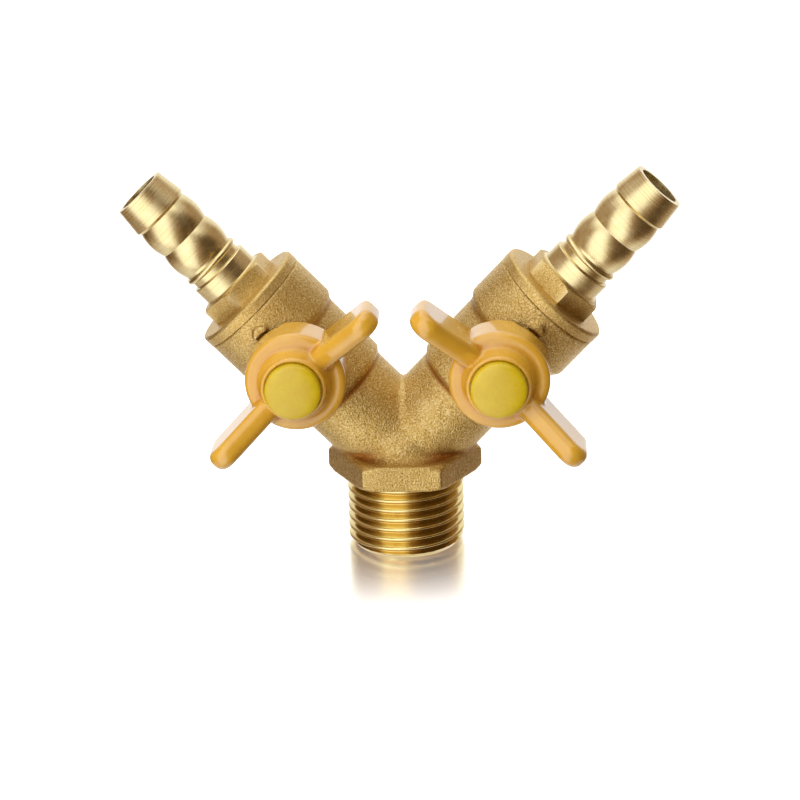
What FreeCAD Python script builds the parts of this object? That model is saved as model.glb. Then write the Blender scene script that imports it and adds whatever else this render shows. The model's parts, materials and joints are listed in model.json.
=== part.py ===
"""Two-way ball-valve hose splitter: a forged brass Y, each branch with a valve, a handle and a hose tail.

Row frame, millimetres: the origin is the centre of the inlet thread's lower end face, +Z runs up the
inlet axis, +X to the right, and the handles face -Y. The two branches mirror each other about X = 0.

Pieces on a branch are drawn in the branch frame: Z up the branch axis, Y as in the row frame, and
the origin where the branch axis meets the inlet axis. Pieces of a valve use the same directions, with
their origin on the branch axis at the stem, so the stem points along -Y.
"""
import FreeCAD, Part
import math
import os
import Sketcher

SHEET = "Dimensions"

DIMENSIONS = {
    # shared: how far joined shapes run into each other, how far cuts run past, and a sliding fit
    "overlap": 0.3,
    "overcut": 1.0,
    "slide_gap": 0.05,
    # branches and the points on a branch axis, measured from the apex
    "branch_angle": 43.5,
    "apex_height": 17.6,
    "stem_station": 25.5,
    "body_end_station": 37.9,
    # inlet shank and its G1/2 thread
    "thread_radius": 10.4775,
    "thread_pitch": 1.814,
    "thread_depth": 1.162,
    "thread_root_flat": 0.3,
    "thread_flank_angle": 27.5,
    "groove_start": -2.258,
    "groove_rise": 14.66,
    "lead_chamfer": 1.1,
    "shank_length": 13.2,
    "inlet_bore": 7.2,
    "inlet_bore_top": 14.6,
    # forged body
    "base_flats": 24.0,
    "base_thickness": 4.8,
    "hexagon_corner_angle": 30,
    "bevel_angle": 30,
    "bevel_start": 1.05,
    "spigot_radius": 9.5,
    "spigot_top": 27.5,
    "spigot_dome": 6.5,
    "neck_radius": 8.87,
    "chamber_start": 15.5,
    "chamber_radius": 9.8,
    "chamber_slope": 1.3,
    "rim_start": 28.4,
    "rim_slope": 1.6,
    "rim_radius": 10.7,
    # inside a branch
    "port_radius": 4.6,
    "port_overrun": 2.5,
    "port_end": 17.4,
    "cavity_radius": 8.0,
    "cavity_end": 31.6,
    "socket_radius": 8.7,
    # stem boss, its gland bore and the stop ring round it
    "boss_radius": 5.2,
    "boss_front": 13.0,
    "clearance_radius": 8.95,
    "clearance_back": 10.75,
    "gland_radius": 3.05,
    "gland_back": 6.0,
    "thrust_bore": 4.15,
    "stop_ring_radius": 6.6,
    "stop_ring_front": 12.4,
    "stop_gap_middle": -90.0,
    "stop_gap_angle": 116.0,
    "stop_rib_middle": -135.0,
    "stop_rib_angle": 24.0,
    "stop_rib_radius": 5.5,
    "stop_rib_back": 11.3,
    # lug beside the handle
    "lug_reach": 9.0,
    "lug_radius": 1.5,
    "lug_front": 11.6,
    # handle, distances measured forward along the stem axis from the branch axis
    "skirt_back": 10.9,
    "skirt_radius": 8.72,
    "shoulder_radius": 8.62,
    "shoulder_round": 0.9,
    "shoulder_front": 18.2,
    "skirt_bore": 7.6,
    "web_back": 16.4,
    "collar_foot_radius": 6.35,
    "collar_radius": 5.5,
    "collar_flare": 6.5,
    "collar_bore": 5.1,
    "lip_front": 21.7,
    "lip_chamfer": 0.2,
    "recess_floor": 18.0,
    "hub_radius": 4.6,
    "hub_back": 13.25,
    "notch_depth": 1.0,
    "notch_middle": 84.5,
    "notch_angle": 36.0,
    "wing_thickness": 3.7,
    "wing_round": 1.5,
    "wing_root": 8.2,
    "wing_root_back": 11.4,
    "wing_back_reach": 19.0,
    "wing_back": 16.2,
    "wing_tip_reach": 19.5,
    "wing_tip_back": 17.4,
    "wing_tip_front": 21.4,
    "wing_front_reach": 15.6,
    "wing_front": 24.3,
    "wing_tip_round": 3.0,
    "wing_collar_front": 19.8,
    # stem
    "stem_radius": 3.0,
    "stem_collar_radius": 4.0,
    "stem_collar_back": 7.35,
    "stem_collar_front": 8.15,
    "tang_width": 2.3,
    "tang_length": 6.2,
    "tang_back": 5.5,
    "square_width": 4.4,
    "square_back": 13.2,
    "stem_front": 17.9,
    "screw_hole_radius": 1.5,
    "screw_hole_back": 11.9,
    "ring_section": 0.54,
    "ring_groove_radius": 1.92,
    "ring_groove_width": 1.3,
    "inner_ring_station": 9.95,
    "outer_ring_station": 11.55,
    "thrust_back": 8.2,
    "thrust_front": 8.9,
    # screw, spring washer and cap
    "screw_radius": 1.45,
    "screw_back": 12.3,
    "screw_head_radius": 2.8,
    "screw_head_round": 0.6,
    "screw_head_back": 18.75,
    "screw_head_front": 20.3,
    "driver_slot_length": 3.4,
    "driver_slot_width": 0.8,
    "driver_slot_depth": 0.8,
    "washer_radius": 2.9,
    "washer_bore": 1.6,
    "washer_gap": 0.5,
    "cap_radius": 4.83,
    "cap_front": 23.85,
    "cap_dome": 0.15,
    "cap_round": 0.75,
    "cap_back": 21.2,
    "cap_plug_radius": 5.0,
    "cap_plug_bore": 4.1,
    "cap_plug_chamfer": 0.3,
    "cap_plug_back": 18.8,
    # ball and seats
    "ball_radius": 7.2,
    "ball_bore": 4.0,
    "ball_slot_width": 2.6,
    "ball_slot_back": 5.3,
    "seat_gap": 0.06,
    "seat_radius": 7.9,
    "seat_bore": 4.6,
    "seat_thickness": 2.8,
    # hose tail, stations on the branch axis
    "tail_start": 33.5,
    "tail_thread_radius": 8.62,
    "tail_undercut_radius": 8.2,
    "tail_undercut": 0.8,
    "flange_radius": 10.75,
    "flange_face": 39.9,
    "flange_round": 0.6,
    "nut_flats": 13.0,
    "nut_end": 43.2,
    "collar_end_station": 46.7,
    "tail_foot_radius": 6.3,
    "tail_foot_rise": 0.4,
    "tail_collar_radius": 5.72,
    "tail_edge": 0.15,
    "groove_radius": 5.05,
    "bead_radius": 5.55,
    "bead_start": 47.85,
    "bead_end": 48.95,
    "bulb_radius": 5.56,
    "bulb_root": 5.08,
    "bulb_start": 49.4,
    "bulb_gap": 54.85,
    "bulb_end": 60.4,
    "tip_start": 60.75,
    "tip_radius": 5.54,
    "mouth_station": 65.9,
    "mouth_radius": 4.93,
    "tail_bore": 3.9,
}

# each branch: the side's name, and +1 or -1 for the side of X = 0 that it leans to
SIDES = (("left", -1), ("right", 1))

# how closely two coordinates agree to count as the same, in millimetres
TOUCH = 1e-4


class Size:
    """A number together with the spreadsheet formula that it comes from."""

    def __init__(self, number, formula):
        self.number = number
        self.formula = formula

    def __add__(self, other):
        return combine(self, "+", other)

    def __sub__(self, other):
        return combine(self, "-", other)

    def __mul__(self, other):
        return combine(self, "*", other)

    def __truediv__(self, other):
        return combine(self, "/", other)

    def __neg__(self):
        return Size(-self.number, f"(-{self.formula})")


def combine(one, sign, other):
    """Joins two sizes, or a size and a number, with an arithmetic sign."""
    if not isinstance(other, Size):
        other = Size(other, str(other))
    results = {
        "+": one.number + other.number,
        "-": one.number - other.number,
        "*": one.number * other.number,
        "/": one.number / other.number if other.number else 0.0,
    }
    return Size(results[sign], f"({one.formula} {sign} {other.formula})")


def sine(angle):
    return Size(math.sin(math.radians(angle.number)), f"sin({angle.formula})")


def cosine(angle):
    return Size(math.cos(math.radians(angle.number)), f"cos({angle.formula})")


def tangent(angle):
    return Size(math.tan(math.radians(angle.number)), f"tan({angle.formula})")


def number(value):
    return Size(value, str(value))


doc = FreeCAD.newDocument("hose_splitter")


def make_sheet():
    """Writes the driving dimensions into the spreadsheet and returns a size for each alias."""
    sheet = doc.addObject("Spreadsheet::Sheet", SHEET)
    sizes = {}
    for row, (alias, value) in enumerate(DIMENSIONS.items(), start=1):
        sheet.set(f"A{row}", alias)
        sheet.set(f"B{row}", str(value))
        sheet.setAlias(f"B{row}", alias)
        sizes[alias] = Size(value, f"{SHEET}.{alias}")
    doc.recompute()
    return sizes


S = make_sheet()
ZERO = number(0)


def new_body(label):
    body = doc.addObject("PartDesign::Body", label)
    body.Label = label
    return body


def origin_plane(body, role):
    return next(item for item in body.Origin.OriginFeatures if item.Role == role)


def new_sketch(body, plane="XZ_Plane", offset=None):
    """A sketch on one of the body's own origin planes, moved along the plane's normal by a size."""
    sketch = body.newObject("Sketcher::SketchObject", f"{body.Label}_sketch")
    sketch.AttachmentSupport = [(origin_plane(body, plane), "")]
    sketch.MapMode = "FlatFace"
    if offset is not None:
        sketch.setExpression("AttachmentOffset.Base.z", offset.formula)
    return sketch


def arc_between(start, end, radius, side):
    """The arc of the given radius from start to end that bulges to the left (+1) or right (-1) of the way."""
    middle = (start + end) * 0.5
    chord = end - start
    half = chord.Length / 2
    left = FreeCAD.Vector(-chord.y, chord.x, 0).normalize()
    sagitta = radius - math.sqrt(max(radius**2 - half**2, 0.0))
    return Part.Arc(start, middle + left * side * sagitta, end)


def outline(sketch, corners, arcs=None):
    """Draws a closed outline through the corners, each a pair of sizes, and binds it to the sheet.

    arcs maps the number of a corner to (radius, side) where the edge that leaves it is an arc.
    """
    arcs = arcs or {}
    spots = [FreeCAD.Vector(across.number, along.number, 0) for across, along in corners]
    first = sketch.GeometryCount
    count = len(corners)
    for index, start in enumerate(spots):
        end = spots[(index + 1) % count]
        if index in arcs:
            radius, side = arcs[index]
            sketch.addGeometry(arc_between(start, end, radius.number, side), False)
        else:
            sketch.addGeometry(Part.LineSegment(start, end), False)
    starts = []
    for index in range(count):
        edge = first + index
        turned = (sketch.getPoint(edge, 1) - spots[index]).Length > TOUCH
        starts.append((edge, 2 if turned else 1))
    for index in range(count):
        edge, point = starts[index]
        before, before_start = starts[index - 1]
        sketch.addConstraint(Sketcher.Constraint("Coincident", before, 3 - before_start, edge, point))
        for kind, axis, size in (("DistanceX", -2, corners[index][0]), ("DistanceY", -1, corners[index][1])):
            if size.formula == ZERO.formula:
                sketch.addConstraint(Sketcher.Constraint("PointOnObject", edge, point, axis))
            else:
                name = sketch.addConstraint(Sketcher.Constraint(kind, -1, 1, edge, point, size.number))
                sketch.setExpression(f"Constraints[{name}]", size.formula)
    for index, (radius, _) in arcs.items():
        name = sketch.addConstraint(Sketcher.Constraint("Radius", first + index, radius.number))
        sketch.setExpression(f"Constraints[{name}]", radius.formula)


def turn(body, corners, arcs=None, cut=False, angle=None):
    """Revolves a half outline, drawn in the body's XZ plane as (radius, station), about the body's Z axis."""
    return turn_about(body, "XZ_Plane", corners, arcs, cut, angle)


def turn_stem(body, corners, arcs=None, cut=False, angle=None):
    """The same about the stem axis: corners are (radius, distance forward along -Y)."""
    flipped = [(across, -along) for across, along in corners]
    turned = {index: (radius, -side) for index, (radius, side) in (arcs or {}).items()}
    return turn_about(body, "XY_Plane", flipped, turned, cut, angle)


def turn_about(body, plane, corners, arcs, cut, angle):
    sketch = new_sketch(body, plane)
    outline(sketch, corners, arcs)
    doc.recompute()
    kind = "PartDesign::Groove" if cut else "PartDesign::Revolution"
    feature = body.newObject(kind, f"{body.Label}_turned")
    feature.Profile = sketch
    feature.ReferenceAxis = (sketch, ["V_Axis"])
    feature.Angle = 360
    if angle is not None:
        feature.Midplane = True
        feature.setExpression("Angle", angle.formula)
    doc.recompute()
    return feature


def prism(body, plane, corners, length, offset=None, reverse=False, midplane=False, cut=False, arcs=None):
    """Extrudes an outline from an origin plane, or cuts it out."""
    sketch = new_sketch(body, plane, offset)
    outline(sketch, corners, arcs)
    doc.recompute()
    feature = body.newObject("PartDesign::Pocket" if cut else "PartDesign::Pad", f"{body.Label}_prism")
    feature.Profile = sketch
    feature.setExpression("Length", length.formula)
    feature.Reversed = reverse
    feature.Midplane = midplane
    doc.recompute()
    return feature


def rectangle(half_width, low, high):
    return [(-half_width, low), (half_width, low), (half_width, high), (-half_width, high)]


def corner_reach(flats):
    """Distance from a hexagon's centre to its corners."""
    return flats / 2 / cosine(S["hexagon_corner_angle"])


def hexagon(flats, first_corner):
    """Corners of a hexagon of the given size across flats, the first one at the given angle."""
    reach = corner_reach(flats)
    turns = [number(first_corner + 60 * index) for index in range(6)]
    return [(reach * cosine(turn_), reach * sine(turn_)) for turn_ in turns]


def place(obj, side, station):
    """Stands a piece on a branch: its origin at a station on the axis, its Z along the branch."""
    reach = station * sine(S["branch_angle"])
    rise = S["apex_height"] + station * cosine(S["branch_angle"])
    tilt = FreeCAD.Rotation(FreeCAD.Vector(0, side, 0), S["branch_angle"].number)
    obj.Placement = FreeCAD.Placement(FreeCAD.Vector(reach.number * side, 0, rise.number), tilt)
    obj.setExpression("Placement.Base.x", (reach * side).formula)
    obj.setExpression("Placement.Base.z", rise.formula)
    obj.setExpression("Placement.Rotation.Angle", S["branch_angle"].formula)


def edges_where(feature, test):
    """Names of the feature's edges whose midpoint and edge pass a test."""
    names = []
    for index, edge in enumerate(feature.Shape.Edges, start=1):
        if test(edge, edge.CenterOfMass):
            names.append(f"Edge{index}")
    return names


def round_edges(body, names, radius):
    """Rounds the named edges of what the body has so far."""
    base = body.Tip
    fillet = body.newObject("PartDesign::Fillet", f"{body.Label}_rounding")
    fillet.Base = (base, names)
    fillet.setExpression("Radius", radius.formula)
    doc.recompute()
    return fillet


# ---------------------------------------------------------------- hose tail


def make_hose_tail(name, side):
    """Screwed plug with a flange, a hexagon and a hose barb of two bulbs and a tapered tip."""
    body = new_body(name)
    ring = S["flange_round"]
    corners = [
        (S["tail_bore"], S["tail_start"]),
        (S["tail_thread_radius"], S["tail_start"]),
        (S["tail_thread_radius"], S["body_end_station"] - S["tail_undercut"]),
        (S["tail_undercut_radius"], S["body_end_station"] - S["tail_undercut"]),
        (S["tail_undercut_radius"], S["body_end_station"]),
        (S["flange_radius"], S["body_end_station"]),
        (S["flange_radius"], S["flange_face"] - ring),
        (S["flange_radius"] - ring, S["flange_face"]),
        (S["tail_foot_radius"], S["flange_face"]),
        (S["tail_foot_radius"], S["nut_end"]),
        (S["tail_collar_radius"], S["nut_end"] + S["tail_foot_rise"]),
        (S["tail_collar_radius"], S["collar_end_station"] - S["tail_edge"]),
        (S["tail_collar_radius"] - S["tail_edge"], S["collar_end_station"]),
        (S["groove_radius"], S["collar_end_station"] + S["tail_edge"]),
        (S["groove_radius"], S["bead_start"]),
        (S["groove_radius"], S["bead_end"]),
        (S["bulb_root"], S["bulb_start"]),
        (S["bulb_root"], S["bulb_gap"]),
        (S["bulb_root"], S["bulb_end"]),
        (S["tip_radius"] - S["tail_edge"], S["tip_start"]),
        (S["tip_radius"], S["tip_start"] + S["tail_edge"]),
        (S["mouth_radius"], S["mouth_station"]),
        (S["tail_bore"], S["mouth_station"]),
    ]
    bulge = S["bulb_radius"] - S["bulb_root"]
    arcs = {
        6: (ring, -1),
        14: (arc_radius((S["bead_end"] - S["bead_start"]) / 2, S["bead_radius"] - S["groove_radius"]), -1),
        16: (arc_radius((S["bulb_gap"] - S["bulb_start"]) / 2, bulge), -1),
        17: (arc_radius((S["bulb_end"] - S["bulb_gap"]) / 2, bulge), -1),
    }
    turn(body, corners, arcs)
    prism(
        body,
        "XY_Plane",
        hexagon(S["nut_flats"], 90),
        S["nut_end"] - S["flange_face"],
        offset=S["flange_face"],
    )
    bevel_hexagon(body, S["nut_flats"], S["nut_end"], 1)
    bore_corners = [
        (ZERO, S["tail_start"] - S["overcut"]),
        (S["tail_bore"], S["tail_start"] - S["overcut"]),
        (S["tail_bore"], S["mouth_station"] + S["overcut"]),
        (ZERO, S["mouth_station"] + S["overcut"]),
    ]
    turn(body, bore_corners, cut=True)
    place(body, side, ZERO)
    return body


def arc_radius(half_chord, sagitta):
    """Radius of the arc with the given half chord and height."""
    return (half_chord * half_chord + sagitta * sagitta) / (sagitta * 2)


def bevel_hexagon(body, flats, station, way):
    """Turns the corners of a hexagon down at its upper (way +1) or lower (way -1) end."""
    inner = flats / 2 * S["bevel_start"]
    outer = corner_reach(flats) + S["overcut"]
    drop = (outer - inner) * tangent(S["bevel_angle"])
    corners = [(inner, station), (outer, station - drop * way), (outer, station + S["overcut"] * way)]
    turn(body, corners, cut=True)


# ---------------------------------------------------------------- forged body


def on_branch(side, radius, station):
    """The row-frame X and Z of a point at a radius and station on a branch, as sizes."""
    across = (station * sine(S["branch_angle"]) + radius * cosine(S["branch_angle"])) * side
    height = S["apex_height"] + station * cosine(S["branch_angle"]) - radius * sine(S["branch_angle"])
    return across, height


def turn_branch(body, side, corners, arcs=None, cut=False):
    """Revolves a half outline of (radius, station) pairs about a branch axis."""
    sketch = new_sketch(body)
    turned = {index: (radius, bulge * side) for index, (radius, bulge) in (arcs or {}).items()}
    outline(sketch, [on_branch(side, radius, station) for radius, station in corners], turned)
    ends = [on_branch(side, ZERO, station) for station in (ZERO, S["mouth_station"])]
    spots = [FreeCAD.Vector(across.number, along.number, 0) for across, along in ends]
    axis = sketch.addGeometry(Part.LineSegment(*spots), True)
    for point, (across, along) in enumerate(ends, start=1):
        for kind, size in (("DistanceX", across), ("DistanceY", along)):
            name = sketch.addConstraint(Sketcher.Constraint(kind, -1, 1, axis, point, size.number))
            sketch.setExpression(f"Constraints[{name}]", size.formula)
    doc.recompute()
    feature = body.newObject("PartDesign::Groove" if cut else "PartDesign::Revolution", "branch_turned")
    feature.Profile = sketch
    feature.ReferenceAxis = (sketch, ["Axis0"])
    feature.Angle = 360
    doc.recompute()
    return feature


def stem_centre(side):
    return on_branch(side, ZERO, S["stem_station"])


def disc(body, centre, radius, front, back, cut=False):
    """A cylinder along Y between two distances forward of the XZ plane, added or cut away."""
    sketch = new_sketch(body, "XZ_Plane", back)
    across, along = centre
    spot = FreeCAD.Vector(across.number, along.number, 0)
    circle = sketch.addGeometry(Part.Circle(spot, FreeCAD.Vector(0, 0, 1), radius.number), False)
    for kind, size in (("DistanceX", across), ("DistanceY", along)):
        name = sketch.addConstraint(Sketcher.Constraint(kind, -1, 1, circle, 3, size.number))
        sketch.setExpression(f"Constraints[{name}]", size.formula)
    name = sketch.addConstraint(Sketcher.Constraint("Radius", circle, radius.number))
    sketch.setExpression(f"Constraints[{name}]", radius.formula)
    doc.recompute()
    feature = body.newObject("PartDesign::Pocket" if cut else "PartDesign::Pad", "disc")
    feature.Profile = sketch
    feature.setExpression("Length", (front - back).formula)
    feature.Reversed = cut
    doc.recompute()
    return feature


def sector(body, centre, side, middle, width, inner, outer, back, front, cut=False):
    """Adds or cuts an annular sector about a stem axis, between two distances forward along it.

    Angles run from the valve's upper wing towards its Z. The centre is given in the row frame, or is
    None in a piece that is drawn in its valve's own frame.
    """
    start = middle - width / 2
    end = middle + width / 2
    lean = S["branch_angle"]

    def spot(radius, angle):
        if centre is None:
            return radius * cosine(angle) * -side, radius * sine(angle)
        turned = angle + lean
        across = centre[0] - radius * cosine(turned) * side
        return across, centre[1] + radius * sine(turned)

    corners = [spot(inner, start), spot(outer, start), spot(outer, end), spot(inner, end)]
    sketch = new_sketch(body, "XZ_Plane", back)
    outline(sketch, corners, {1: (outer, side), 3: (inner, -side)})
    doc.recompute()
    feature = body.newObject("PartDesign::Pocket" if cut else "PartDesign::Pad", "sector")
    feature.Profile = sketch
    feature.setExpression("Length", (front - back).formula)
    feature.Reversed = cut
    doc.recompute()
    return feature


def branch_outline():
    """Outer half outline of a branch and its arcs: the neck swells into the chamber, and that into the rim."""
    corners = [(ZERO, ZERO), (S["neck_radius"], ZERO)]
    arcs = {}
    swells = (
        (S["neck_radius"], S["chamber_radius"], S["chamber_start"], S["chamber_slope"]),
        (S["chamber_radius"], S["rim_radius"], S["rim_start"], S["rim_slope"]),
    )
    for low, high, start, length in swells:
        bend = arc_radius(length / 2, (high - low) / 2)
        arcs[len(corners)] = (bend, 1)
        arcs[len(corners) + 1] = (bend, -1)
        corners += [(low, start), ((low + high) / 2, start + length / 2), (high, start + length)]
    corners += [(S["rim_radius"], S["body_end_station"]), (ZERO, S["body_end_station"])]
    return corners, arcs


def make_valve_body(name):
    """The forging: threaded inlet, hexagon, two branches with ball cavities, stem bosses and lugs."""
    body = new_body(name)
    spigot = [
        (ZERO, ZERO),
        (S["thread_radius"] - S["lead_chamfer"], ZERO),
        (S["thread_radius"], S["lead_chamfer"]),
        (S["thread_radius"], S["shank_length"]),
        (S["spigot_radius"], S["shank_length"]),
        (S["spigot_radius"], S["spigot_top"] - S["spigot_dome"]),
        (ZERO, S["spigot_top"]),
    ]
    turn(body, spigot, {5: (arc_radius(S["spigot_radius"], S["spigot_dome"]), -1)})
    base_top = S["shank_length"] + S["base_thickness"]
    prism(body, "XY_Plane", hexagon(S["base_flats"], 0), S["base_thickness"], offset=S["shank_length"])
    bevel_hexagon(body, S["base_flats"], base_top, 1)
    bevel_hexagon(body, S["base_flats"], S["shank_length"], -1)
    branch, swells = branch_outline()
    for _, side in SIDES:
        turn_branch(body, side, branch, swells)
    for _, side in SIDES:
        centre = stem_centre(side)
        lug = on_branch(side, ZERO, S["stem_station"] + S["lug_reach"])
        disc(body, lug, S["lug_radius"], S["lug_front"], S["cavity_radius"])
        disc(body, centre, S["clearance_radius"], S["boss_front"], S["clearance_back"], cut=True)
        disc(body, centre, S["stop_ring_radius"], S["stop_ring_front"], ZERO)
        disc(body, centre, S["boss_radius"], S["boss_front"], ZERO)
        sector(
            body,
            centre,
            side,
            S["stop_gap_middle"],
            S["stop_gap_angle"],
            S["boss_radius"],
            S["stop_ring_radius"] + S["overlap"],
            S["clearance_back"],
            S["boss_front"],
            cut=True,
        )
    inlet = [
        (ZERO, -S["overcut"]),
        (S["inlet_bore"], -S["overcut"]),
        (S["inlet_bore"], S["inlet_bore_top"]),
        (S["port_radius"], S["apex_height"]),
        (ZERO, S["apex_height"]),
    ]
    turn(body, inlet, cut=True)
    for _, side in SIDES:
        passage = [
            (ZERO, -S["port_overrun"]),
            (S["port_radius"], -S["port_overrun"]),
            (S["port_radius"], S["port_end"]),
            (S["cavity_radius"], S["port_end"]),
            (S["cavity_radius"], S["cavity_end"]),
            (S["socket_radius"], S["cavity_end"] + S["socket_radius"] - S["cavity_radius"]),
            (S["socket_radius"], S["body_end_station"] + S["overcut"]),
            (ZERO, S["body_end_station"] + S["overcut"]),
        ]
        turn_branch(body, side, passage, cut=True)
        centre = stem_centre(side)
        disc(body, centre, S["gland_radius"], S["boss_front"] + S["overcut"], S["gland_back"], cut=True)
        disc(body, centre, S["thrust_bore"], S["thrust_front"], S["gland_back"], cut=True)
    cut_thread(body)
    return body


def cut_thread(body):
    """Cuts the inlet thread's groove, a helix that runs out just under the hexagon."""
    root = S["thread_radius"] - S["thread_depth"]
    over = S["overlap"]
    half_root = S["thread_root_flat"] / 2
    half_top = half_root + (S["thread_depth"] + over) * tangent(S["thread_flank_angle"])
    sketch = new_sketch(body)
    middle = S["groove_start"]
    outline(
        sketch,
        [
            (root, middle - half_root),
            (S["thread_radius"] + over, middle - half_top),
            (S["thread_radius"] + over, middle + half_top),
            (root, middle + half_root),
        ],
    )
    doc.recompute()
    groove = body.newObject("PartDesign::SubtractiveHelix", "thread_groove")
    groove.Profile = sketch
    groove.ReferenceAxis = (sketch, ["V_Axis"])
    groove.Mode = 0
    groove.setExpression("Pitch", S["thread_pitch"].formula)
    groove.setExpression("Height", S["groove_rise"].formula)
    groove.LeftHanded = False
    doc.recompute()
    return groove


# ---------------------------------------------------------------- valve pieces


def turn_sphere(body, radius, cut=False):
    """A sphere about the body's origin, or a spherical hollow."""
    corners = [(ZERO, -radius), (radius, ZERO), (ZERO, radius)]
    turn(body, corners, {0: (radius, -1), 1: (radius, -1)}, cut)


def make_ball(name, side):
    """Ball with a through bore, closed at rest, and a slot for the stem's tang."""
    body = new_body(name)
    turn_sphere(body, S["ball_radius"])
    sketch = new_sketch(body, "YZ_Plane")
    round_hole = Part.Circle(FreeCAD.Vector(), FreeCAD.Vector(0, 0, 1), S["ball_bore"].number)
    circle = sketch.addGeometry(round_hole, False)
    sketch.addConstraint(Sketcher.Constraint("Coincident", circle, 3, -1, 1))
    radius = sketch.addConstraint(Sketcher.Constraint("Radius", circle, S["ball_bore"].number))
    sketch.setExpression(f"Constraints[{radius}]", S["ball_bore"].formula)
    doc.recompute()
    bore = body.newObject("PartDesign::Pocket", "bore")
    bore.Profile = sketch
    bore.setExpression("Length", ((S["ball_radius"] + S["overcut"]) * 2).formula)
    bore.Midplane = True
    doc.recompute()
    slot = rectangle(S["ball_slot_width"] / 2, -S["ball_radius"], S["ball_radius"])
    depth = S["ball_radius"] - S["ball_slot_back"] + S["overcut"]
    prism(body, "XZ_Plane", slot, depth, offset=S["ball_slot_back"], reverse=True, cut=True)
    place(body, side, S["stem_station"])
    return body


def make_seat(name, side, start):
    """Seat ring from a station towards the ball, hollowed to the ball's sphere."""
    body = new_body(name)
    away = 1 if start.number > S["stem_station"].number else -1
    back = start - S["stem_station"]
    front = back - S["seat_thickness"] * away
    corners = [
        (S["seat_bore"], back),
        (S["seat_radius"], back),
        (S["seat_radius"], front),
        (S["seat_bore"], front),
    ]
    turn(body, corners)
    turn_sphere(body, S["ball_radius"] + S["seat_gap"], cut=True)
    place(body, side, S["stem_station"])
    return body


def make_stem(name, side):
    """Blow-out-proof stem: tang, collar, two ring grooves, square end and a tapped hole."""
    body = new_body(name)
    half = S["ring_groove_width"] / 2
    profile = [(ZERO, S["stem_collar_back"]), (S["stem_collar_radius"], S["stem_collar_back"])]
    profile += [(S["stem_collar_radius"], S["stem_collar_front"]), (S["stem_radius"], S["stem_collar_front"])]
    for station in (S["inner_ring_station"], S["outer_ring_station"]):
        profile += [(S["stem_radius"], station - half), (S["ring_groove_radius"], station - half)]
        profile += [(S["ring_groove_radius"], station + half), (S["stem_radius"], station + half)]
    profile += [(S["stem_radius"], S["square_back"]), (ZERO, S["square_back"])]
    turn_stem(body, profile)
    tang = rectangle(S["tang_width"] / 2, -(S["tang_length"] / 2), S["tang_length"] / 2)
    tang_rise = S["stem_collar_back"] - S["tang_back"] + S["overlap"]
    prism(body, "XZ_Plane", tang, tang_rise, offset=S["tang_back"])
    across = S["square_width"] / 2
    square = rectangle(across, -across, across)
    square_start = S["square_back"] - S["overlap"]
    prism(body, "XZ_Plane", square, S["stem_front"] - square_start, offset=square_start)
    hole_end = S["stem_front"] + S["overcut"]
    disc(body, (ZERO, ZERO), S["screw_hole_radius"], hole_end, S["screw_hole_back"], cut=True)
    place(body, side, S["stem_station"])
    return body


def make_ring(name, side, station):
    """Rubber ring in a groove of the stem, at a distance forward along it."""
    ring = doc.addObject("Part::Torus", name)
    ring.Label = name
    ring.setExpression("Radius1", (S["ring_groove_radius"] + S["ring_section"]).formula)
    ring.setExpression("Radius2", S["ring_section"].formula)
    across, height = stem_centre(side)
    ring.Placement.Rotation = FreeCAD.Rotation(FreeCAD.Vector(1, 0, 0), 90)
    ring.setExpression("Placement.Base.x", across.formula)
    ring.setExpression("Placement.Base.y", (-station).formula)
    ring.setExpression("Placement.Base.z", height.formula)
    return ring


def make_thrust_washer(name, side):
    body = new_body(name)
    inner = S["gland_radius"]
    outer = S["thrust_bore"] - S["slide_gap"]
    front = S["thrust_front"] - S["slide_gap"]
    corners = [(inner, S["thrust_back"]), (outer, S["thrust_back"]), (outer, front), (inner, front)]
    turn_stem(body, corners)
    place(body, side, S["stem_station"])
    return body


# ---------------------------------------------------------------- handle group


def add_wings(body):
    """Two wings along the handle's own X that sweep forward as they go out, rounded at the front and tip."""
    wing = [
        (S["wing_root"], -S["wing_root_back"]),
        (S["wing_back_reach"], -S["wing_back"]),
        (S["wing_tip_reach"], -S["wing_tip_back"]),
        (S["wing_tip_reach"], -S["wing_tip_front"]),
        (S["wing_front_reach"], -S["wing_front"]),
        (S["collar_radius"], -S["wing_collar_front"]),
        (S["collar_radius"], -S["recess_floor"]),
        (S["wing_root"], -S["recess_floor"]),
    ]
    for way in (1, -1):
        corners = [(x * way, y) for x, y in wing]
        tip = {3: (S["wing_tip_round"], way)}
        prism(body, "XY_Plane", corners, S["wing_thickness"], midplane=True, arcs=tip)
    root = S["wing_root"].number + S["wing_round"].number
    half = S["wing_thickness"].number / 2
    deepest = -S["wing_tip_back"].number

    def rounded(edge, middle):
        flat = abs(abs(middle.z) - half) < TOUCH and edge.BoundBox.ZLength < TOUCH
        return flat and abs(middle.x) > root and middle.y < deepest

    round_edges(body, edges_where(body.Tip, rounded), S["wing_round"])


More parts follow.
